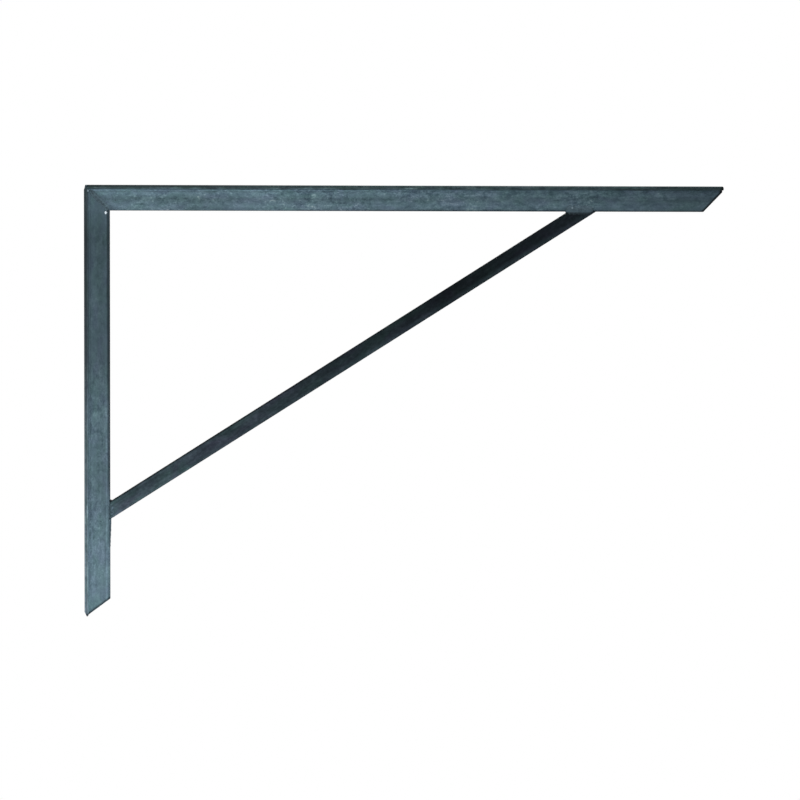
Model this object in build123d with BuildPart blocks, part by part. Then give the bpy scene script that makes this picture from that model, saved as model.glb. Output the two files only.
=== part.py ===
from build123d import *
from math import radians, tan
import os

# Welded shelf bracket of small rolled T-section, in millimetres.
# X runs out from the wall, Y along the wall and Z up.
# The origin is on the wall face, halfway between the upper and lower wall screws.

# Lengths of the two members, measured on the faces that meet the wall and the shelf
arm_length = 500.0  # wall face to the tip of the shelf arm
leg_length = 337.0  # shelf face to the tip of the wall leg

# Rolled T-section: flange outwards, web inwards
flange_width = 20.0
flange_thickness = 3.0
section_depth = 20.0  # face of the flange to the toe of the web
web_thickness = 3.0
root_radius = 1.5  # inside corner between flange and web
toe_radius = 1.0  # rolled edges of the web and of the flange's inner side
face_edge_radius = 0.4  # rolled edges of the flange's outer face

# Free ends: the arm's flange is cut square and its web cut back to it; the leg is cut through to a point
arm_cut_angle = 46.0  # between the arm's axis and its cut
arm_cut_shoulder = 1.6  # how far below the flange the arm's cut begins
leg_cut_angle = 53.5  # between the leg's axis and its cut
leg_point_reach = 1.9  # wall face out to the leg's lowest point
leg_point_rise = 3.8  # height of the bevel between that point and the wall face
tip_edge_radius = 1.4  # filed edge where the arm's shelf face ends
cut_edge_radius = 0.5  # filed edges of the cuts

# Brace: flat bar between the toes of the two webs
brace_width = 11.7
brace_thickness = 5.0
brace_edge_radius = 0.5
brace_foot_drop = 254.3  # shelf face down to the middle of the brace's foot
brace_head_reach = 389.4  # wall face out to the middle of the brace's head

# Screw holes through the flanges, in pairs beside the web
screw_hole_diameter = 4.5
upper_screw_drop = 40.0  # shelf face down to the upper wall screws
lower_screw_rise = 37.0  # tip of the leg up to the lower wall screws
near_screw_reach = 50.0  # wall face out to the near shelf screws
far_screw_setback = 50.0  # tip of the arm back to the far shelf screws

# Welds
corner_bevel = 4.0  # bevel of the outer corner that its weld fills
weld_on_shelf_face = 2.6  # ground surface of that weld, level with the shelf face
weld_on_wall_face = 0.5  # and level with the wall face
corner_run_width = 5.0
corner_run_crown = 0.7
head_run_width = 6.0
head_run_crown = 1.8
head_run_lap = 1.4  # how far the head's weld comes down over the brace
foot_run_width = 6.4
foot_run_crown = 1.7
foot_run_lap = 1.2  # how far the foot's weld goes back over the leg's web
weld_flank_angle = 40.0  # slope of a weld's sides, from the upright
crotch_fillet = 2.2  # weld in the acute corner at each end of the brace
tail_length = 23.0  # run-out of the foot's weld down the leg
tail_start = 1.1  # its thickness under the brace
tail_end = 0.25  # and where it fades out
root_fill_depth = 0.6  # how far weld fills in beside a toe's rolled edge
corner_fill_inset = 0.15  # how far a corner's weld stays inside the toe's faces

# Worked out from the above
lower_screw_drop = leg_length - lower_screw_rise
far_screw_reach = arm_length - far_screw_setback
shelf_z = (upper_screw_drop + lower_screw_drop) / 2
toe_z = shelf_z - section_depth
web_depth = section_depth - flange_thickness
screw_line = (flange_width + web_thickness) / 4  # middle of the flange beside the web
corner_fill_half = web_thickness / 2 - corner_fill_inset
root_middle = (web_thickness - root_fill_depth) / 2
brace_foot = Vector(section_depth, 0, shelf_z - brace_foot_drop)
brace_head = Vector(brace_head_reach, 0, toe_z)
brace_run = brace_head - brace_foot


def t_section():
    """The rolled T: outer face of the flange on the local x axis, web hanging below it."""
    half_flange = flange_width / 2
    half_web = web_thickness / 2
    with BuildSketch() as profile:
        with BuildLine():
            FilletPolyline(
                (-half_flange, 0),
                (half_flange, 0),
                (half_flange, -flange_thickness),
                (half_web, -flange_thickness),
                (half_web, -section_depth),
                (-half_web, -section_depth),
                (-half_web, -flange_thickness),
                (-half_flange, -flange_thickness),
                radius=(
                    face_edge_radius,
                    face_edge_radius,
                    toe_radius,
                    root_radius,
                    toe_radius,
                    toe_radius,
                    root_radius,
                    toe_radius,
                ),
                close=True,
            )
        make_face()
    return profile.sketch


def weld_run(start, end, width, crown, side):
    """One weld run on a web's side face, from start to end in X and Z, with sloping flanks.

    side is -1 for the front of the bracket and 1 for its back."""
    along = Vector(end[0] - start[0], 0, end[1] - start[1])
    middle = ((start[0] + end[0]) / 2, side * web_thickness / 2, (start[1] + end[1]) / 2)
    with BuildPart() as run:
        with BuildSketch(Plane(origin=middle, x_dir=along, z_dir=(0, side, 0))):
            SlotOverall(along.length, width)
        extrude(amount=crown, taper=weld_flank_angle)
    return run.part


def corner_fill(*points):
    """Weld metal in a corner between a toe and the brace: an outline in X and Z, as thick as the toe."""
    with BuildPart() as fill:
        with BuildSketch(Plane.XZ):
            with BuildLine():
                Polyline(*[(point.X, point.Z) for point in points], close=True)
            make_face()
        extrude(amount=corner_fill_half, both=True)
    return fill.part


bar_section = t_section()

# Wall leg: T-bar, bevelled and mitred at the top, cut to a point at the foot
leg_cut_rise = (section_depth - leg_point_reach) / tan(radians(leg_cut_angle))
with BuildPart() as wall_leg:
    down_wall = Plane(origin=(0, 0, shelf_z), x_dir=(0, -1, 0), z_dir=(0, 0, -1))
    with BuildSketch(down_wall):
        add(bar_section)
    extrude(amount=leg_length)
    with BuildSketch(Plane.XZ):
        with BuildLine():
            FilletPolyline(
                (0, shelf_z - corner_bevel),
                (corner_bevel / 2, shelf_z - corner_bevel / 2),
                (section_depth, toe_z),
                (section_depth, shelf_z - leg_length + leg_cut_rise),
                (leg_point_reach, shelf_z - leg_length),
                (0, shelf_z - leg_length + leg_point_rise),
                radius=(0, 0, 0, cut_edge_radius, 0, 0),
                close=True,
            )
        make_face()
    extrude(amount=flange_width, both=True, mode=Mode.INTERSECT)
    with Locations(Plane(origin=(0, 0, 0), x_dir=(0, 0, 1), z_dir=(-1, 0, 0))):
        with GridLocations(lower_screw_drop - upper_screw_drop, 2 * screw_line, 2, 2):
            Hole(screw_hole_diameter / 2, depth=flange_thickness)

# Shelf arm: the same bar, bevelled and mitred at the wall, cut back at the tip
arm_cut_run = (web_depth - arm_cut_shoulder) / tan(radians(arm_cut_angle))
with BuildPart() as shelf_arm:
    with BuildSketch(Plane(origin=(0, 0, shelf_z), x_dir=(0, 1, 0), z_dir=(1, 0, 0))):
        add(bar_section)
    extrude(amount=arm_length)
    with BuildSketch(Plane.XZ):
        with BuildLine():
            FilletPolyline(
                (corner_bevel, shelf_z),
                (arm_length, shelf_z),
                (arm_length, shelf_z - flange_thickness - arm_cut_shoulder),
                (arm_length - arm_cut_run, toe_z),
                (section_depth, toe_z),
                (corner_bevel / 2, shelf_z - corner_bevel / 2),
                radius=(0, tip_edge_radius, 0, cut_edge_radius, 0, 0),
                close=True,
            )
        make_face()
    extrude(amount=flange_width, both=True, mode=Mode.INTERSECT)
    with Locations(Plane(origin=((near_screw_reach + far_screw_reach) / 2, 0, shelf_z))):
        with GridLocations(far_screw_reach - near_screw_reach, 2 * screw_line, 2, 2):
            Hole(screw_hole_diameter / 2, depth=flange_thickness)

# Brace: flat bar, cut to lie flat on the leg's and the arm's toes
brace_stock = Plane(origin=(brace_foot + brace_head) / 2, x_dir=(0, 1, 0), z_dir=brace_run)
with BuildPart() as brace:
    with BuildSketch(brace_stock):
        RectangleRounded(brace_thickness, brace_width, brace_edge_radius)
    extrude(amount=brace_run.length, both=True)
    split(bisect_by=Plane(origin=brace_foot, z_dir=(1, 0, 0)), keep=Keep.TOP)
    split(bisect_by=Plane(origin=brace_head, z_dir=(0, 0, 1)), keep=Keep.BOTTOM)

# Weld of the outer corner: fills the bevels of both flanges and is ground to a small flat
with BuildPart() as corner_weld_outer:
    with BuildSketch(Plane.XZ):
        with BuildLine():
            Polyline(
                (corner_bevel, shelf_z),
                (corner_bevel - weld_on_shelf_face, shelf_z),
                (0, shelf_z - corner_bevel + weld_on_wall_face),
                (0, shelf_z - corner_bevel),
                close=True,
            )
        make_face()
    extrude(amount=flange_width / 2 - face_edge_radius, both=True)

# Welds along the mitre, one on each face of the webs
mitre_start = (flange_thickness / 2, shelf_z - flange_thickness / 2)
mitre_end = (section_depth - toe_radius, toe_z + toe_radius)
mitre_front = weld_run(mitre_start, mitre_end, corner_run_width, corner_run_crown, -1)
mitre_back = weld_run(mitre_start, mitre_end, corner_run_width, corner_run_crown, 1)
with BuildPart() as corner_weld_front:
    add(mitre_front)
    add(wall_leg.part, mode=Mode.SUBTRACT)
    add(shelf_arm.part, mode=Mode.SUBTRACT)
    add(corner_weld_outer.part, mode=Mode.SUBTRACT)
with BuildPart() as corner_weld_back:
    add(mitre_back)
    add(wall_leg.part, mode=Mode.SUBTRACT)
    add(shelf_arm.part, mode=Mode.SUBTRACT)
    add(corner_weld_outer.part, mode=Mode.SUBTRACT)

# Weld round the brace's head: a run on each face and a fillet in the acute corner
along_brace = brace_run.normalized()
head_half = brace_width / 2 / along_brace.Z
head_line = toe_z - head_run_lap + head_run_width / 2
head_start = (brace_head_reach - head_half, head_line)
head_end = (brace_head_reach + head_half - head_run_lap, head_line)
head_runs = [weld_run(head_start, head_end, head_run_width, head_run_crown, side) for side in (-1, 1)]
head_acute = Vector(brace_head_reach - head_half, 0, toe_z)
into_arm = Vector(0, 0, toe_radius)
past_head = Vector(toe_radius, 0, 0)
head_fillet = corner_fill(
    head_acute - Vector(crotch_fillet, 0, 0),
    head_acute - along_brace * crotch_fillet,
    head_acute + past_head,
    head_acute + past_head + into_arm,
    head_acute - Vector(crotch_fillet, 0, 0) + into_arm,
)
with BuildPart() as brace_head_weld:
    for run in head_runs:
        add(run)
    add(head_fillet)
    root_z = toe_z + toe_radius / 2
    with Locations((brace_head_reach, -root_middle, root_z), (brace_head_reach, root_middle, root_z)):
        Box(2 * (head_half - crotch_fillet), root_fill_depth, toe_radius)
    add(shelf_arm.part, mode=Mode.SUBTRACT)
    add(brace.part, mode=Mode.SUBTRACT)

# Weld round the brace's foot: a run on each face, a fillet above and a run-out below
foot_half = brace_width / 2 / along_brace.X
foot_line = section_depth - foot_run_lap + foot_run_width / 2
foot_start = (foot_line, brace_foot.Z + foot_half)
foot_end = (foot_line, brace_foot.Z - foot_half)
foot_runs = [weld_run(foot_start, foot_end, foot_run_width, foot_run_crown, side) for side in (-1, 1)]
foot_acute = brace_foot + Vector(0, 0, foot_half)
foot_obtuse = brace_foot - Vector(0, 0, foot_half)
into_leg = Vector(-toe_radius, 0, 0)
past_foot = Vector(0, 0, toe_radius)
foot_fillet = corner_fill(
    foot_acute + Vector(0, 0, crotch_fillet),
    foot_acute + along_brace * crotch_fillet,
    foot_acute - past_foot,
    foot_acute - past_foot + into_leg,
    foot_acute + Vector(0, 0, crotch_fillet) + into_leg,
)
foot_tail = corner_fill(
    foot_obtuse + past_foot + into_leg,
    foot_obtuse + past_foot,
    foot_obtuse + along_brace * crotch_fillet,
    foot_obtuse + Vector(tail_start, 0, -tail_start),
    foot_obtuse + Vector(tail_end, 0, -tail_length),
    foot_obtuse + into_leg - Vector(0, 0, tail_length),
)
with BuildPart() as brace_foot_weld:
    for run in foot_runs:
        add(run)
    add(foot_fillet)
    add(foot_tail)
    root_x = section_depth - toe_radius / 2
    with Locations((root_x, -root_middle, brace_foot.Z), (root_x, root_middle, brace_foot.Z)):
        Box(toe_radius, root_fill_depth, 2 * (foot_half - crotch_fillet))
    add(wall_leg.part, mode=Mode.SUBTRACT)
    add(brace.part, mode=Mode.SUBTRACT)

parts = {
    "wall_leg": wall_leg,
    "shelf_arm": shelf_arm,
    "brace": brace,
    "corner_weld_outer": corner_weld_outer,
    "corner_weld_front": corner_weld_front,
    "corner_weld_back": corner_weld_back,
    "brace_head_weld": brace_head_weld,
    "brace_foot_weld": brace_foot_weld,
}
os.makedirs("parts", exist_ok=True)
for name, piece in parts.items():
    piece.part.label = name
    export_step(piece.part, f"parts/{name}.step")
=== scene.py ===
"""A welded shelf bracket: two lengths of T-bar mitred at the corner, with a flat-bar brace between them.

The three bars keep their own meshes and get their finishes here. Their welds are modelled as beads."""

from math import atan2, cos, exp, pi, radians, sin, sqrt

import bmesh
import bpy
from mathutils import Matrix, Vector, noise


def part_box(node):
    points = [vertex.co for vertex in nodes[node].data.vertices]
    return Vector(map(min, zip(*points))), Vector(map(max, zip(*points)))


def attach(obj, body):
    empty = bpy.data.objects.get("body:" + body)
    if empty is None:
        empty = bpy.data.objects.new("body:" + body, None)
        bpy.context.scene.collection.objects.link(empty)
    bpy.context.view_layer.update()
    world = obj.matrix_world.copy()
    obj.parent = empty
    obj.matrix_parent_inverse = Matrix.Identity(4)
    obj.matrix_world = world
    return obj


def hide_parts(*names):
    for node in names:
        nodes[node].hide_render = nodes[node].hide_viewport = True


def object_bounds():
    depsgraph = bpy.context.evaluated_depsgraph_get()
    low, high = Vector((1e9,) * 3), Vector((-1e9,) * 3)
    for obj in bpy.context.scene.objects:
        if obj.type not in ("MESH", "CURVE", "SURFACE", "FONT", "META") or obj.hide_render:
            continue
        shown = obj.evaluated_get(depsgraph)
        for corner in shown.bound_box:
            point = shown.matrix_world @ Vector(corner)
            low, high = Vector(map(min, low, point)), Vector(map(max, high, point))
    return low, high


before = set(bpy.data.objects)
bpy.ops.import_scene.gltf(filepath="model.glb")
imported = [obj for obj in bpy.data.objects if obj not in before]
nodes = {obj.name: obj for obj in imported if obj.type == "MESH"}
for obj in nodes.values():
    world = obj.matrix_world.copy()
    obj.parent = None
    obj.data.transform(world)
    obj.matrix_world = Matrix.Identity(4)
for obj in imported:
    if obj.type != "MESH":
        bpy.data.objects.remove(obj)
cad_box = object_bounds()

MM = 0.001

# ---------------------------------------------------------------- sizes and places

leg_low, leg_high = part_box("wall_leg")
arm_low, arm_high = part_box("shelf_arm")
centre = (cad_box[0] + cad_box[1]) / 2

SHELF_Z = arm_high.z            # the face that meets the shelf
TOE_Z = arm_low.z               # the underside of the arm's web
LEG_TOE_X = leg_high.x          # the inner edge of the leg's web
TIP_X = arm_high.x
FOOT_Z = leg_low.z
FLANGE = 3.0 * MM
WEB = 3.0 * MM
ARM_CUT = radians(46)           # between each bar and the cut at its free end
LEG_CUT = radians(53.5)
ARM_CUT_SHOULDER = 1.6 * MM     # how far below the flange the arm's cut begins
LEG_POINT_REACH = 1.9 * MM      # wall face out to the leg's lowest point
BRACE_WIDTH = 11.7 * MM
BRACE_FOOT_DROP = 254.3 * MM    # shelf face down to the middle of the brace's foot
BRACE_HEAD_REACH = 389.4 * MM   # wall face out to the middle of its head

foot_middle = Vector((LEG_TOE_X, 0, SHELF_Z - BRACE_FOOT_DROP))
head_middle = Vector((BRACE_HEAD_REACH, 0, TOE_Z))
brace_run = (head_middle - foot_middle).normalized()
brace_up = Vector((-brace_run.z, 0, brace_run.x))
brace_underside = foot_middle - brace_up * BRACE_WIDTH / 2
brace_angle = atan2(brace_run.z, brace_run.x)
foot_half = BRACE_WIDTH / 2 / brace_run.x           # half the height of its foot, along the leg's toe
head_half = BRACE_WIDTH / 2 / brace_run.z           # half the length of its head, along the arm's toe
notch = foot_middle + Vector((0, 0, foot_half))     # the acute corner above its foot

arm_cut_face = Vector((sin(ARM_CUT), 0, -cos(ARM_CUT)))
arm_cut_start = Vector((TIP_X, 0, SHELF_Z - FLANGE - ARM_CUT_SHOULDER))
leg_cut_face = Vector((cos(LEG_CUT), 0, -sin(LEG_CUT)))
leg_cut_start = Vector((LEG_POINT_REACH, 0, FOOT_Z))


# ---------------------------------------------------------------- camera

CAMERA_DISTANCE = 3.0
CAMERA_LEFT = radians(3.136)    # stands a little to the left of the bracket
CAMERA_UP = radians(3.067)      # and level with its arm
CAMERA_ROLL = radians(0.154)
CAMERA_AIM = Vector((-3.1, 0, 0.5)) * MM            # from the bracket's middle
CAMERA_LENS = 171.97
CAMERA_SENSOR = 36


def place_camera():
    target = centre + CAMERA_AIM
    flat = cos(CAMERA_UP)
    away = Vector((-sin(CAMERA_LEFT) * flat, -cos(CAMERA_LEFT) * flat, sin(CAMERA_UP)))
    data = bpy.data.cameras.new("camera")
    data.lens, data.sensor_width = CAMERA_LENS, CAMERA_SENSOR
    data.clip_start, data.clip_end = 0.05, 50
    camera = bpy.data.objects.new("camera", data)
    camera.matrix_world = (
        Matrix.Translation(target + away * CAMERA_DISTANCE)
        @ (-away).to_track_quat("-Z", "Y").to_matrix().to_4x4()
        @ Matrix.Rotation(CAMERA_ROLL, 4, "Z")
    )
    bpy.context.scene.collection.objects.link(camera)
    bpy.context.scene.camera = camera


place_camera()
bpy.context.scene.view_settings.view_transform = "Standard"


# ---------------------------------------------------------------- colours and nodes


def srgb(hex_colour):
    """An sRGB hex value as the linear colour that Blender works in."""
    channels = [int(hex_colour[i:i + 2], 16) / 255 for i in (1, 3, 5)]
    return [c / 12.92 if c <= 0.04045 else ((c + 0.055) / 1.055) ** 2.4 for c in channels] + [1.0]


def node(tree, kind, inputs=None, stops=None, **settings):
    """Adds a node, gives it its settings and colour stops, and sets or links its inputs."""
    new = tree.nodes.new(kind)
    for key, value in settings.items():
        setattr(new, key, value)
    if stops:
        elements = new.color_ramp.elements
        while len(elements) < len(stops):
            elements.new(0.5)
        for element, (position, colour) in zip(elements, stops):
            element.position, element.color = position, srgb(colour)
    for socket, value in (inputs or {}).items():
        if isinstance(value, bpy.types.NodeSocket):
            tree.links.new(value, new.inputs[socket])
        else:
            new.inputs[socket].default_value = value
    return new


def new_material(name):
    material = bpy.data.materials.new(name)
    material.use_nodes = True
    material.node_tree.nodes.clear()
    return material, material.node_tree


# ---------------------------------------------------------------- studio

FLOOR_DROP = 0.43               # from the foot of the leg down to the floor
FLOOR_AHEAD = 0.7               # from the bracket to the floor's middle, towards the camera
FLOOR_SIZE = 1.6


def light_world():
    """Pale daylight all round, which looks plain white to the camera and in metal or glass."""
    world = bpy.data.worlds.new("studio_daylight")
    world.use_nodes = True
    tree = world.node_tree
    tree.nodes.clear()
    ray = node(tree, "ShaderNodeLightPath").outputs
    seen = node(tree, "ShaderNodeMath", {
        0: ray["Is Camera Ray"], 1: ray["Is Glossy Ray"],
    }, operation="MAXIMUM").outputs[0]
    shows_white = node(tree, "ShaderNodeMath", {
        0: seen, 1: ray["Is Transmission Ray"],
    }, operation="MAXIMUM").outputs[0]
    fill = node(tree, "ShaderNodeBackground", {"Color": srgb("#e9eef2"), "Strength": 0.45})
    white = node(tree, "ShaderNodeBackground", {"Color": srgb("#ffffff"), "Strength": 1.0})
    mix = node(tree, "ShaderNodeMixShader", {0: shows_white, 1: fill.outputs[0], 2: white.outputs[0]})
    node(tree, "ShaderNodeOutputWorld", {"Surface": mix.outputs[0]})
    bpy.context.scene.world = world


def lamp(name, place, aim, width, height, watts, colour):
    data = bpy.data.lights.new(name, "AREA")
    data.shape, data.size, data.size_y = "RECTANGLE", width, height
    data.energy, data.color = watts, srgb(colour)[:3]
    light = bpy.data.objects.new(name, data)
    turn = (Vector(aim) - Vector(place)).to_track_quat("-Z", "Y").to_matrix().to_4x4()
    light.matrix_world = Matrix.Translation(place) @ turn
    bpy.context.scene.collection.objects.link(light)


def lay_floor():
    material, tree = new_material("matt_white_studio_board")
    surface = node(tree, "ShaderNodeBsdfPrincipled", {
        "Base Color": srgb("#f1f2f3"), "Roughness": 0.9, "Specular IOR Level": 0.2,
    })
    node(tree, "ShaderNodeOutputMaterial", {"Surface": surface.outputs[0]})
    bm = bmesh.new()
    bmesh.ops.create_grid(bm, x_segments=1, y_segments=1, size=FLOOR_SIZE)
    bmesh.ops.translate(bm, verts=bm.verts, vec=(centre.x, -FLOOR_AHEAD, FOOT_Z - FLOOR_DROP))
    mesh = bpy.data.meshes.new("studio_floor")
    bm.to_mesh(mesh)
    bm.free()
    mesh.materials.append(material)
    floor = bpy.data.objects.new("studio_floor", mesh)
    bpy.context.scene.collection.objects.link(floor)


light_world()
lay_floor()
lamp("soft_key", (0.0, -1.05, -0.28), (0.2, 0, 0), 0.5, 0.4, 3.5, "#ffffff")
lamp("soft_top", (0.6, -0.7, 1.5), (0.25, 0, 0), 1.2, 1.2, 5, "#f4f8ff")
lamp("soft_back", (0.7, 1.2, 0.5), (0.25, 0, 0), 0.9, 0.9, 6, "#ffffff")


# ---------------------------------------------------------------- finishes


def stretched_noise(tree, at, along, across, detail=2.0, roughness=0.55, distortion=0.0, shift=0.0):
    """Noise whose patches are about along x across millimetres, on a bar's own coordinates."""
    spread = node(tree, "ShaderNodeMapping", {
        "Vector": at, "Location": (shift, shift, shift),
        "Scale": (1 / (along * MM), 1 / (across * MM), 1 / (across * MM)),
    })
    return node(tree, "ShaderNodeTexNoise", {
        "Vector": spread.outputs[0], "Scale": 1.0,
        "Detail": detail, "Roughness": roughness, "Distortion": distortion,
    }).outputs[0]


def added_up(tree, parts):
    """Patterns added up by weight, so that their sum stays round one half."""
    total = 0.5 - sum(weight for _, weight in parts) / 2
    for pattern, weight in parts:
        total = node(tree, "ShaderNodeMath", {
            0: pattern, 1: weight, 2: total,
        }, operation="MULTIPLY_ADD").outputs[0]
    return total


def tone_over(tree, distance, stops):
    """A grey tone that changes over a distance. Each stop is a place in millimetres and a share of white."""
    first, last = stops[0][0], stops[-1][0]
    share = node(tree, "ShaderNodeMapRange", {
        "Value": distance, "From Min": first * MM, "From Max": last * MM,
    }).outputs[0]
    greys = [((at - first) / (last - first), "#" + 3 * f"{round(255 * tone):02x}") for at, tone in stops]
    return node(tree, "ShaderNodeValToRGB", {0: share}, stops=greys).outputs[0]


def painted_light_across(tree, along, depth, tones):
    """Painted shade and highlight at each depth of a bar, going over from the tones near its start to those
    further along it.
    """
    reach = node(tree, "ShaderNodeMapRange", {
        "Value": along, "From Min": tones["near_until"] * MM, "From Max": tones["far_from"] * MM,
    }, interpolation_type="SMOOTHSTEP").outputs[0]
    near, far = tone_over(tree, depth, tones["painted_light_near"]), tone_over(tree, depth, tones["painted_light_far"])
    return node(tree, "ShaderNodeMix", {0: reach, 6: near, 7: far}, data_type="RGBA").outputs[2]


def multiplied_by(tree, colour, tone, distance=None, none_at=0.0, full_at=0.0):
    """The colour multiplied by a tone, the metal's own or painted light: all over, or easing in between two
    distances.
    """
    mask = 1.0
    if distance:
        mask = node(tree, "ShaderNodeMapRange", {
            "Value": distance, "From Min": none_at, "From Max": full_at,
        }, interpolation_type="SMOOTHSTEP").outputs[0]
    return node(tree, "ShaderNodeMix", {
        0: mask, 6: colour, 7: tone,
    }, data_type="RGBA", blend_type="MULTIPLY").outputs[2]


def finish_metal(material, tree, colour, pattern, rough, bump, metallic, grain=None):
    """The shader of a metal. Its roughness runs between two values and its relief rises with the pattern.

    bump is the relief's strength and its height. grain is the direction that the metal was drawn out in."""
    roughness = node(tree, "ShaderNodeMapRange", {
        "Value": pattern, "From Min": 0.2, "From Max": 0.8, "To Min": rough[0], "To Max": rough[1],
    }).outputs[0]
    relief = node(tree, "ShaderNodeBump", {
        "Height": pattern, "Strength": bump[0], "Distance": bump[1],
    }).outputs[0]
    inputs = {"Base Color": colour, "Metallic": metallic, "Roughness": roughness, "Normal": relief}
    if grain:
        turned = node(tree, "ShaderNodeCombineXYZ", {0: grain[0], 1: grain[1], 2: grain[2]}).outputs[0]
        inputs.update({"Anisotropic": 0.8, "Anisotropic Rotation": 0.25, "Tangent": turned})
    surface = node(tree, "ShaderNodeBsdfPrincipled", inputs)
    node(tree, "ShaderNodeOutputMaterial", {"Surface": surface.outputs[0]})
    return material


def hot_rolled_steel(name, place, grain, end, cut, tones):
    """Hot-rolled mild steel: blue-grey mill scale, dull and cloudy, in patches drawn out a little along it.

    place maps the object's coordinates to along the bar, through it, and depth below the flange's face.
    end is how far along it stops. cut is the direction that its cut end faces, and how far that way it is."""
    material, tree = new_material(name)
    here = node(tree, "ShaderNodeTexCoord").outputs["Object"]
    bar = node(tree, "ShaderNodeMapping", {"Vector": here, **place}).outputs[0]
    split = node(tree, "ShaderNodeSeparateXYZ", {0: bar})
    along, depth = split.outputs["X"], split.outputs["Z"]

    # the scale is thicker and thinner in patches, with small spots within them, streaks drawn out by the
    # rolls, and a grain of its own, drawn coarse enough to show
    clouds = stretched_noise(tree, bar, 11, 5, detail=3, roughness=0.6, distortion=0.8)
    mottle = stretched_noise(tree, bar, 3.4, 2.2, detail=2, roughness=0.6, distortion=0.6, shift=3.1)
    streaks = stretched_noise(tree, bar, 42, 1.9, detail=2, roughness=0.5, shift=7.3)
    grit = stretched_noise(tree, bar, 1.2, 1.0, detail=1, roughness=0.5, shift=1.7)
    amount = added_up(tree, [(clouds, 0.8), (mottle, 0.7), (streaks, 0.3), (grit, 0.35)])

    # with pale specks where it has flaked
    specks = stretched_noise(tree, bar, 2.1, 1.6, detail=1, roughness=0.5, distortion=0.4, shift=9.7)
    brightness = tone_over(tree, along, tones["flaked"])
    flaked = node(tree, "ShaderNodeMapRange", {
        "Value": specks, "From Min": 0.59, "From Max": 0.72, "To Max": brightness,
    }).outputs[0]
    marked = node(tree, "ShaderNodeMath", {0: amount, 1: flaked}, operation="ADD").outputs[0]

    # all of it strong in some stretches, and smooth in others
    smooth = stretched_noise(tree, bar, 34, 15, detail=1, roughness=0.5, shift=8.6)
    strength = node(tree, "ShaderNodeMapRange", {
        "Value": smooth, "From Min": 0.35, "From Max": 0.65, "To Min": 0.55, "To Max": 1.2,
    }).outputs[0]
    mottling = node(tree, "ShaderNodeMath", {
        0: tone_over(tree, along, tones["mottling"]), 1: strength,
    }, operation="MULTIPLY").outputs[0]
    pattern = node(tree, "ShaderNodeMix", {0: mottling, 2: 0.5, 3: marked}, clamp_factor=False).outputs[0]
    steel = node(tree, "ShaderNodeValToRGB", {0: pattern}, stops=[
        (0.12, "#536c7b"), (0.36, "#7592a1"), (0.52, "#8cabba"), (0.7, "#a5c5d4"), (0.92, "#d8f0f6"),
    ]).outputs[0]

    # and its hue a little greener or bluer
    cast = stretched_noise(tree, bar, 14, 7, detail=2, roughness=0.5, distortion=0.5, shift=5.9)
    tint = node(tree, "ShaderNodeValToRGB", {0: cast}, stops=[(0.3, "#f5fff7"), (0.7, "#fbf7ff")]).outputs[0]
    steel = multiplied_by(tree, steel, tint)

    # painted shade and highlight across the bar's section, laid on lines that stray a little from straight
    wander = stretched_noise(tree, bar, 15, 30, detail=2, roughness=0.6, shift=6.4)
    stray = tones["stray"] * MM
    strayed = node(tree, "ShaderNodeMath", {
        0: wander, 1: stray, 2: depth,
    }, operation="MULTIPLY_ADD").outputs[0]
    painted_light_depth = node(tree, "ShaderNodeMath", {0: strayed, 1: stray / 2}, operation="SUBTRACT").outputs[0]
    steel = multiplied_by(tree, steel, painted_light_across(tree, along, painted_light_depth, tones))
    # the tone along the bar's length, partly painted light and shade
    steel = multiplied_by(tree, steel, tone_over(tree, along, tones["along"]))
    # painted shade on the flange's edge, and a slight tint there
    steel = multiplied_by(tree, steel, tone_over(tree, along, tones["flange_edge_shade"]), painted_light_depth, 3.2 * MM, 1.9 * MM)
    steel = multiplied_by(tree, steel, srgb(tones["flange_tint"]), depth, 3.6 * MM, 1.9 * MM)
    # painted shade along the web's toe
    toe_shade_from, toe_shade_full = tones["toe_shade_depths"]
    steel = multiplied_by(tree, steel, tone_over(tree, along, tones["toe"]), depth, toe_shade_from * MM, toe_shade_full * MM)

    # the weld's heat dulled it beside the mitre, and its cut ends are darker
    from_mitre = node(tree, "ShaderNodeMath", {0: along, 1: depth}, operation="SUBTRACT").outputs[0]
    steel = multiplied_by(tree, steel, srgb(tones["heated"]), from_mitre, 9 * MM, 3.5 * MM)
    direction, reach = cut
    outward = node(tree, "ShaderNodeVectorMath", {
        0: here, 1: direction,
    }, operation="DOT_PRODUCT").outputs["Value"]
    steel = multiplied_by(tree, steel, srgb(tones["cut"]), outward, reach - 2.2 * MM, reach - 0.8 * MM)
    steel = multiplied_by(tree, steel, srgb(tones["end"]), along, end - 3.2 * MM, end - 1.2 * MM)
    return finish_metal(
        material, tree, steel, pattern, rough=(0.5, 0.42), bump=(0.25, 0.2 * MM), metallic=0.9, grain=grain,
    )


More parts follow.
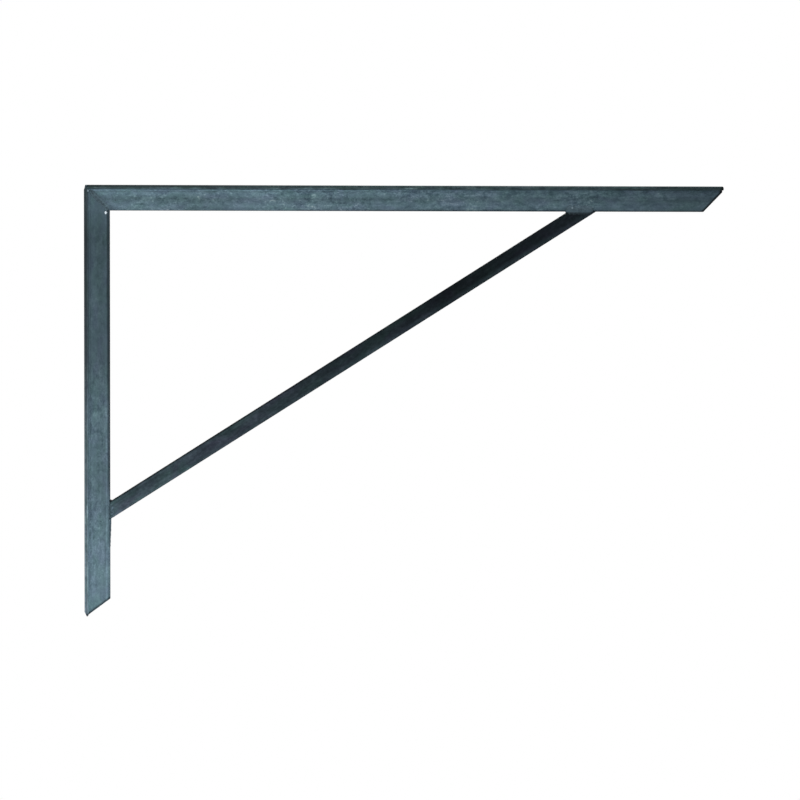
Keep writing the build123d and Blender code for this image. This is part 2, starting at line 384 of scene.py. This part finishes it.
def hot_rolled_flat_bar(name, place, grain, tones):
    """Hot-rolled flat bar: a thin dark scale, plainer than the T-bar's, with fine lines drawn out along it.

    place maps the object's coordinates to along the bar, through it, and height above its underside."""
    material, tree = new_material(name)
    here = node(tree, "ShaderNodeTexCoord").outputs["Object"]
    bar = node(tree, "ShaderNodeMapping", {"Vector": here, **place}).outputs[0]
    split = node(tree, "ShaderNodeSeparateXYZ", {0: bar})
    along, height = split.outputs["X"], split.outputs["Z"]

    clouds = stretched_noise(tree, bar, 16, 6, detail=3, roughness=0.6, distortion=0.5)
    lines = stretched_noise(tree, bar, 60, 1.1, detail=2, roughness=0.5, shift=4.4)
    mottle = stretched_noise(tree, bar, 3.2, 2.0, detail=2, roughness=0.6, distortion=0.3, shift=2.2)
    pattern = added_up(tree, [(clouds, 0.75), (lines, 0.24), (mottle, 0.5)])
    steel = node(tree, "ShaderNodeValToRGB", {0: pattern}, stops=[
        (0.2, "#35414a"), (0.5, "#4e5d67"), (0.8, "#6b7b87"),
    ]).outputs[0]
    cast = stretched_noise(tree, bar, 22, 9, detail=2, roughness=0.5, distortion=0.5, shift=5.9)
    tint = node(tree, "ShaderNodeValToRGB", {0: cast}, stops=[(0.3, "#e6fff0"), (0.7, "#fff0ff")]).outputs[0]
    steel = multiplied_by(tree, steel, tint)
    # painted shade and highlight: darker towards its upper edge and its head, lighter along its underside and
    # by its foot
    steel = multiplied_by(tree, steel, painted_light_across(tree, along, height, tones))
    steel = multiplied_by(tree, steel, tone_over(tree, along, tones["along"]))
    return finish_metal(
        material, tree, steel, pattern, rough=(0.46, 0.4), bump=(0.2, 0.12 * MM), metallic=0.95, grain=grain,
    )


def arc_weld_metal(name, dark, light, *seams):
    """Arc weld, brushed but not painted: the bars' blue-grey, glossier on its ripples and dull between them.

    Each seam is a point on a line, the direction across it, and the tones from one side to the other: darker
    seams and painted shade."""
    material, tree = new_material(name)
    here = node(tree, "ShaderNodeTexCoord").outputs["Object"]
    clouds = stretched_noise(tree, here, 3.5, 3.5, detail=3, roughness=0.6, distortion=0.6)
    grit = stretched_noise(tree, here, 0.8, 0.8, detail=1, roughness=0.5, shift=5.1)
    pattern = added_up(tree, [(clouds, 0.9), (grit, 0.5)])
    metal = node(tree, "ShaderNodeValToRGB", {0: pattern}, stops=[(0.25, dark), (0.75, light)]).outputs[0]
    for on_line, across, tones in seams:
        offset = node(tree, "ShaderNodeVectorMath", {0: here, 1: on_line}, operation="SUBTRACT").outputs[0]
        distance = node(tree, "ShaderNodeVectorMath", {
            0: offset, 1: across,
        }, operation="DOT_PRODUCT").outputs["Value"]
        metal = multiplied_by(tree, metal, tone_over(tree, distance, tones))
    return finish_metal(
        material, tree, metal, pattern, rough=(0.5, 0.34), bump=(0.3, 0.12 * MM), metallic=0.9,
    )


# ---------------------------------------------------------------- the tones and the painted light of the bars and the welds

# Stops run in millimetres along a bar from the outer corner, or across it from the flange's face.
#   stray         how far the lines of its painted light across it wander
#   flaked        how bright its pale specks are
#   mottling      how strong the scale's pattern is
#   painted_light_near  painted shade and highlight from the flange's face to the web's toe, up to near_until
#   along the bar
#   painted_light_far   the same from far_from on: painted shade darkest on the flange's edge, painted highlight in the root beside it
#   along         the tone over its length, partly painted light and shade
#   flange_edge_shade  painted shade laid over the flange's edge, together with flange_tint
#   toe           painted shade on the web's toe, coming in between the two depths of toe_shade_depths
#   heated        laid over the steel beside the mitre
#   cut, end      laid over the edge of its slanting cut, and over the last of its length
arm_tones = {
    "stray": 3.0,
    "flaked": [(0, 0.42), (40, 0.55), (160, 0.53), (280, 0.45), (370, 0.36), (500, 0.38)],
    "mottling": [(0, 0.88), (150, 0.9), (250, 0.96), (400, 1.0), (500, 0.84)],
    "near_until": 60,
    "far_from": 430,
    "painted_light_near": [
        (0, 0.47), (1.8, 0.49), (2.8, 0.64), (3.6, 0.8), (4.4, 0.7), (5.1, 0.675), (5.9, 0.72), (6.6, 0.735),
        (11, 0.59), (16, 0.66), (20, 0.58),
    ],
    "painted_light_far": [
        (0, 0.66), (1.2, 0.56), (2.2, 0.5), (3.5, 0.64), (5.5, 0.68), (7, 0.67), (11, 0.575), (15.5, 0.635),
        (20, 0.58),
    ],
    "along": [
        (0, 0.91), (44, 0.92), (91, 0.86), (138, 0.95), (185, 0.94), (232, 0.97), (278, 1.0), (325, 0.99),
        (372, 0.98), (419, 0.96), (466, 0.86), (500, 0.86),
    ],
    "flange_edge_shade": [(0, 0.7), (150, 0.77), (220, 0.8), (300, 0.8), (400, 0.78), (500, 0.74)],
    "flange_tint": "#fefff2",
    "toe": [(0, 0.95), (150, 1.0), (250, 0.74), (400, 0.78), (500, 0.87)],
    "toe_shade_depths": (18.4, 19.3),
    "heated": "#e5e6e7",
    "cut": "#787878",
    "end": "#909090",
}
leg_tones = {
    "stray": 1.2,
    "flaked": [(0, 0.42), (150, 0.36), (240, 0.4), (337, 0.5)],
    "mottling": [(0, 0.74), (120, 0.74), (180, 0.82), (260, 0.82), (337, 0.64)],
    "near_until": 60,
    "far_from": 290,
    "painted_light_near": [
        (0, 0.44), (2, 0.38), (3.5, 0.68), (4.4, 0.62), (5.5, 0.65), (7.5, 0.64), (11.5, 0.58), (15.4, 0.58),
        (16.4, 0.6), (17.2, 0.58), (18, 0.39), (20, 0.44),
    ],
    "painted_light_far": [
        (0, 0.7), (1.2, 0.56), (1.9, 0.49), (2.6, 0.83), (3.2, 0.96), (3.7, 0.78), (4.3, 0.585), (5.2, 0.575),
        (6, 0.605), (6.8, 0.59), (11, 0.57), (13.4, 0.56), (16.2, 0.54), (17.3, 0.64), (18.1, 0.53),
        (18.9, 0.59), (20, 0.62),
    ],
    "along": [
        (0, 1.0), (18, 1.0), (40, 0.83), (69, 0.87), (102, 0.87), (137, 0.83), (172, 0.96), (205, 0.94),
        (235, 0.9), (268, 0.99), (300, 1.0), (337, 1.0),
    ],
    "flange_edge_shade": [(0, 1.0), (337, 1.0)],
    "flange_tint": "#fff3ef",
    "toe": [
        (0, 1.0), (90, 0.9), (150, 0.78), (236, 0.74), (246, 1.0), (285, 1.0), (298, 0.9), (337, 0.95),
    ],
    "toe_shade_depths": (17.8, 18.5),
    "heated": "#ffffff",
    "cut": "#a2a2a2",
    "end": "#c8c8c8",
}

# The brace's painted light, along it from the middle of its foot, and across it from its underside to its
# upper edge:
# painted shade towards its head and its upper edge, and lighter along its underside.
brace_painted_light = {
    "near_until": 130,
    "far_from": 330,
    "painted_light_near": [(0, 0.8), (2, 0.73), (3.5, 0.7), (10.2, 0.69), (11.0, 0.53), (11.7, 0.38)],
    "painted_light_far": [(0, 1.0), (2, 0.95), (3.5, 0.82), (4.6, 0.7), (10.6, 0.69), (11.7, 0.6)],
    "along": [
        (0, 1.0), (5, 1.0), (11, 0.84), (40, 0.83), (72, 0.9), (113, 0.78), (155, 0.8), (197, 0.7),
        (240, 0.73), (280, 0.64), (322, 0.49), (364, 0.57), (450, 0.575),
    ],
}

# The welds' tones across their seams: over the mitre a darker seam, with the leg's half painted darker than
# the arm's;
# painted shade down over the brace's head; a painted shadow out over its foot just beside the leg's toe; and
# painted shade up into the notch above that.
seam_and_light_over_mitre = [(-2.2, 0.84), (-0.8, 0.82), (-0.1, 0.78), (0.4, 0.84), (0.9, 1.0), (2.2, 1.0)]
shade_down_over_head = [(-6, 0.88), (-1, 0.84), (-0.2, 0.84), (0.5, 0.7), (1.1, 0.52), (1.9, 0.42), (4, 0.36)]
shadow_out_over_foot = [(-1.5, 0.74), (0.2, 0.74), (1.2, 0.6), (2.1, 0.58), (2.8, 0.8), (5, 0.8)]
shade_into_notch = [(-2, 1.0), (-1.1, 0.9), (-0.4, 0.5), (0.3, 0.35), (2, 0.35)]

outer_corner = Vector((0, 0, SHELF_Z))
across_mitre = Vector((1, 0, 1)).normalized()
out_from_wall, up, down = Vector((1, 0, 0)), Vector((0, 0, 1)), Vector((0, 0, -1))

arm_steel = hot_rolled_steel(
    "hot_rolled_steel_arm", {"Scale": (1, 1, -1), "Location": (0, 0, SHELF_Z)}, (1.0, 0.0, 0.0),
    TIP_X, (arm_cut_face, arm_cut_face.dot(arm_cut_start)), arm_tones,
)
leg_steel = hot_rolled_steel(
    "hot_rolled_steel_leg", {"Rotation": (0, -pi / 2, 0), "Location": (SHELF_Z, 0, 0)}, (0.0, 0.0, 1.0),
    SHELF_Z - FOOT_Z, (leg_cut_face, leg_cut_face.dot(leg_cut_start)), leg_tones,
)
brace_steel = hot_rolled_flat_bar(
    "hot_rolled_flat_bar", {
        "Rotation": (0, brace_angle, 0),
        "Location": (-brace_run.dot(foot_middle), 0, -brace_up.dot(brace_underside)),
    }, tuple(brace_run), brace_painted_light,
)
mitre_weld = arc_weld_metal(
    "ground_arc_weld_metal", "#3c4a52", "#566a73", (outer_corner, across_mitre, seam_and_light_over_mitre),
)
head_weld = arc_weld_metal("arc_weld_metal_head", "#41515a", "#5d717b", (head_middle, down, shade_down_over_head))
foot_weld = arc_weld_metal(
    "arc_weld_metal_foot", "#50636f", "#75909e",
    (foot_middle, out_from_wall, shadow_out_over_foot), (notch, up, shade_into_notch),
)
# lighter than the welds; on the drop at the outer corner its colour is a painted glint
spatter_and_glint_metal = arc_weld_metal("weld_spatter_and_glint_metal", "#5a6972", "#7c8c94")
# near white: a painted highlight on the ball of spatter at the inner corner
spatter_painted_glint = arc_weld_metal("weld_spatter_painted_glint", "#c3d2da", "#eef6fa")

for name, finish in (("shelf_arm", arm_steel), ("wall_leg", leg_steel), ("brace", brace_steel)):
    nodes[name].data.materials.clear()
    nodes[name].data.materials.append(finish)


# ---------------------------------------------------------------- weld beads, laid out in millimetres

RING_POINTS = 32
STATION = 0.25 * MM             # between one ring of a bead and the next
BLUNT_END = 0.12                # a bead's last ring, as a share of its full section
BURIED = 0.35                   # how deep the half inside the steel goes, as a share of the half outside
RIPPLE_BOW = 0.3                # how far a ripple trails at its sides, as a share of half the bead's width
RIPPLE_DRIFT = 0.5              # how unevenly the ripples follow each other, as a share of their pitch
HUMP_MIDDLE = 0.6               # the height on a ripple, from 0 to 1, that stays level with the crown
EDGE_STRAY = 0.16               # how far a bead's edges stray, as a share of half its width

# how fast the noise changes, per metre: in the ripples, the edges, the crown and the ground corner
DRIFT_RATE, STRAY_RATE, WAVER_RATE, GRINDING_RATE = 300, 500, 420, 450


def placing(at, across, outward, along, half_width, height):
    """Sets a unit circle across a weld's path, so wide and so tall."""
    place = Matrix.Identity(4)
    for column, vector in enumerate((across * half_width, outward * height, along)):
        place.col[column].xyz = vector
    place.col[3].xyz = at
    return place


def sweep(bm, ring, stations):
    """Draws a closed ring out through its stations and caps both ends. Returns all its points."""
    bmesh.ops.transform(bm, matrix=stations[0], verts=ring)
    made = list(ring)
    first = edges = list(dict.fromkeys(e for v in ring for e in v.link_edges))
    for before, after in zip(stations, stations[1:]):
        drawn = bmesh.ops.extrude_edge_only(bm, edges=edges)["geom"]
        verts = [g for g in drawn if isinstance(g, bmesh.types.BMVert)]
        bmesh.ops.transform(bm, matrix=after @ before.inverted(), verts=verts)
        moved = set(verts)
        edges = [g for g in drawn if isinstance(g, bmesh.types.BMEdge) and moved.issuperset(g.verts)]
        made += verts
    bmesh.ops.contextual_create(bm, geom=first)
    bmesh.ops.contextual_create(bm, geom=edges)
    return made


def bead(
    bm, start, end, outward, width, crown, crown_end=None,
    pitch=2.0, ripple=0.0, waver=0.12, flank=1.0, pits=(), seed=0.0,
):
    """One weld run: ripples pitch apart, bowed back at their sides, on a crowned bead with round ends.

    flank is 1 for a half-round bead, and more for one whose sides run out smoothly into the steel.
    pits are (x, z, radius, depth) left in it."""
    start, end, outward = Vector(start) * MM, Vector(end) * MM, Vector(outward).normalized()
    along = (end - start).normalized()
    across = outward.cross(along)
    length, half = (end - start).length, width / 2 * MM
    last_crown = crown if crown_end is None else crown_end
    count = round(length / STATION)
    stations = []
    for k in range(count + 1):
        run = length * k / count
        from_end = min(run, length - run) / half
        size = max(sqrt(1 - min(1.0, max(0.0, 1 - from_end)) ** 2), BLUNT_END)
        tall = crown + (last_crown - crown) * k / count
        stations.append(placing(start + along * run, across, outward, along, half * size, tall * MM * size))
    ring = bmesh.ops.create_circle(bm, cap_ends=False, segments=RING_POINTS, radius=1.0)["verts"]
    for v in sweep(bm, ring, stations):
        place = v.co - start
        height, run, side = place.dot(outward), place.dot(along), place.dot(across) / half
        if height < 0:
            v.co -= outward * height * (1 - BURIED)
            continue
        full = min(1.0, height / (crown * MM))
        share = min(1.0, full * 1.6)            # the ripples fade out towards the bead's edges
        drift = RIPPLE_DRIFT * noise.noise(Vector((run * DRIFT_RATE, seed, 0)))
        beat = (run + RIPPLE_BOW * half * side * side) / (pitch * MM) + drift
        hump = 1 - (2 * (beat % 1.0) - 1) ** 2
        lift = ripple * (hump - HUMP_MIDDLE) + waver * noise.noise(v.co * WAVER_RATE + Vector((seed, 0, 0)))
        height_now = height * full ** (flank - 1) + lift * MM * share
        for x, z, radius, deep in pits:
            away = sqrt((v.co.x - x * MM) ** 2 + (v.co.z - z * MM) ** 2) / (radius * MM)
            height_now -= deep * MM * exp(-away * away)
        v.co += outward * (height_now - height)
        v.co += across * half * EDGE_STRAY * side * noise.noise(Vector((run * STRAY_RATE, seed + 4, 0)))


def droplet(bm, at, radius, tall, seed):
    """A ball of spatter, a little out of round, that has run flat against the front of the steel."""
    made = bmesh.ops.create_icosphere(bm, subdivisions=3, radius=1.0)["verts"]
    turn = Vector((0, -1, 0)).to_track_quat("Z", "Y").to_matrix().to_4x4()
    for v in made:
        v.co *= 1 + 0.16 * noise.noise(v.co * 1.3 + Vector((seed, seed, 0)))
        v.co.z *= BURIED if v.co.z < 0 else 1.0
    size = Matrix.Diagonal((radius * MM, radius * MM, tall * MM, 1))
    bmesh.ops.transform(bm, matrix=Matrix.Translation(Vector(at) * MM) @ turn @ size, verts=made)


def weld_piece(name, bm, material, *replaced):
    """Makes a piece of the bmesh, smooth and facing outwards, in place of the CAD solids that it replaces."""
    bmesh.ops.remove_doubles(bm, verts=bm.verts, dist=1e-6)
    bmesh.ops.recalc_face_normals(bm, faces=bm.faces)
    for face in bm.faces:
        face.smooth = True
    mesh = bpy.data.meshes.new(name)
    bm.to_mesh(mesh)
    bm.free()
    mesh.materials.append(material)
    piece = bpy.data.objects.new(name, mesh)
    bpy.context.scene.collection.objects.link(piece)
    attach(piece, "root")
    if replaced:
        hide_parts(*replaced)


# the faces that the beads lie against, in millimetres and to the micron
shelf, toe, leg_toe, web_face = (round(place / MM, 3) for place in (SHELF_Z, TOE_Z, LEG_TOE_X, WEB / 2))

# the mitre's welds on the two faces of the web, ground almost flush, with gas pits left in them
MITRE_FROM, MITRE_TO = 2.4, 19.0        # how far in from the outer corner they start and stop, both ways
MITRE_PITS = (                          # out from the wall, down from the shelf face, radius and depth
    (6.7, 6.2, 0.6, 0.12), (8.2, 8.4, 0.5, 0.1), (11.2, 11.4, 0.6, 0.12), (14.3, 14.5, 0.6, 0.14),
    (17.0, 17.2, 0.6, 0.14),
)
for side, face in ((-1, "front"), (1, "back")):
    bm = bmesh.new()
    bead(
        bm, (MITRE_FROM, side * web_face, shelf - MITRE_FROM), (MITRE_TO, side * web_face, shelf - MITRE_TO),
        (0, side, 0), width=4.0, crown=0.11, pitch=2.4, ripple=0.015, waver=0.02, flank=2.0, seed=3.0 + side,
        pits=[(x, shelf - drop, radius, deep) for x, drop, radius, deep in MITRE_PITS],
    )
    weld_piece(f"corner_bead_{face}", bm, mitre_weld, f"corner_weld_{face}")

# the outer corner: weld across both flanges, ground to a small uneven flat
CORNER_OUTLINE = (                      # out from the wall, and down from the shelf face
    (4.0, 0), (1.15, 0), (0.95, 0.3), (0.55, 1.6), (0.4, 2.6), (0.15, 3.4), (0.03, 3.8), (0, 4.0), (2.0, 2.0),
)
CORNER_HALF = 9.6                       # from the mid-plane to each end of it
CORNER_STATION = 0.5
CORNER_GROUND = 3.2                     # it is uneven where out and down add up to less than this
CORNER_UNEVEN = 0.12
bm = bmesh.new()
ring = [bm.verts.new((x * MM, 0, (shelf - drop) * MM)) for x, drop in CORNER_OUTLINE]
for a, b in zip(ring, ring[1:] + ring[:1]):
    bm.edges.new((a, b))
steps = round(2 * CORNER_HALF / CORNER_STATION)
made = sweep(bm, ring, [
    Matrix.Translation((0, CORNER_HALF * (2 * k / steps - 1) * MM, 0)) for k in range(steps + 1)
])
inward = Vector((1, 0, -1)).normalized()
for v in made:
    if v.co.x + SHELF_Z - v.co.z < CORNER_GROUND * MM:
        v.co += inward * CORNER_UNEVEN * MM * (noise.noise(v.co * GRINDING_RATE) + 0.6)
weld_piece("corner_bead_outer", bm, mitre_weld, "corner_weld_outer")

# round the brace's head: a run on each face of the arm's web, and a fillet in the sharp corner
bm = bmesh.new()
head_x, half = head_middle.x / MM, head_half / MM
for side in (-1, 1):
    bead(
        bm, (head_x - half - 1.8, side * 1.95, toe + 1.2), (head_x + half - 2.4, side * 1.95, toe + 1.2),
        (0, side, 0.14),
        width=7.6, crown=0.6, pitch=2.1, ripple=0.05, waver=0.08, flank=1.9, seed=11.0 + side,
    )
sharp = Vector((head_x - half, 0, toe))
bead(
    bm, sharp + Vector((-0.2, -2.3, 0.2)), sharp + Vector((-0.2, 2.3, 0.2)), (-0.7, 0, -0.45),
    width=4.2, crown=1.9, ripple=0.1, waver=0.15, seed=21.0,
)
weld_piece("brace_head_bead", bm, head_weld, "brace_head_weld")

# round its foot: a run on each face, a fillet above, and the last of the rod drawn down the leg's toe
bm = bmesh.new()
foot_z, half = foot_middle.z / MM, foot_half / MM
for side in (-1, 1):
    bead(
        bm,
        (leg_toe + 1.6, side * 1.7, foot_z + half - 1.2),
        (leg_toe + 1.6, side * 1.7, foot_z - half + 1.4),
        (0, side, 0), width=5.6, crown=0.95, pitch=2.3, ripple=0.05, waver=0.1, flank=2.2, seed=31.0 + side,
    )
above = notch / MM
bead(
    bm, above + Vector((0.2, -2.2, -0.2)), above + Vector((0.2, 2.2, -0.2)), (0.5, 0, 0.8),
    width=3.4, crown=1.6, ripple=0.1, waver=0.12, seed=41.0,
)
bead(
    bm, (leg_toe - 0.7, 0, -89.6), (leg_toe - 0.7, 0, -114.2), (1, 0, 0),
    width=4.4, crown=1.65, crown_end=0.8, pitch=3.0, ripple=0.12, waver=0.15, seed=51.0,
)
weld_piece("brace_foot_bead", bm, foot_weld, "brace_foot_weld")

# spatter thrown on to the front, on the webs round the joints and the head's bead, and a lighter drop on the
# leg's flange at the corner that is a painted glint
WEB_SPATTER = (                         # x, z and radius of each ball
    (24.5, 157.8, 0.4), (29.0, 154.2, 0.3), (386.9, 155.0, 0.45), (393.1, 155.2, 0.35), (398.2, 153.6, 0.4),
    (15.2, -78.5, 0.4), (12.4, -93.0, 0.35),
)
bm = bmesh.new()
for k, (x, z, radius) in enumerate(WEB_SPATTER):
    droplet(bm, (x, -web_face, z), radius, radius * 0.8, 1.7 * k)
droplet(bm, (381.8, -2.3, 152.9), 0.8, 0.2, 9.0)
# a painted glint: a lighter flat drop where the corner catches the light
droplet(bm, (3.0, -9.6, 165.4), 0.9, 0.3, 4.0)
weld_piece("weld_spatter", bm, spatter_and_glint_metal)

# and one ball of it at the inner corner, coloured near white: a painted highlight where the corner glints
bm = bmesh.new()
droplet(bm, (16.7, -web_face, 148.3), 1.3, 1.0, 2.0)
weld_piece("spatter_painted_glint", bm, spatter_painted_glint)
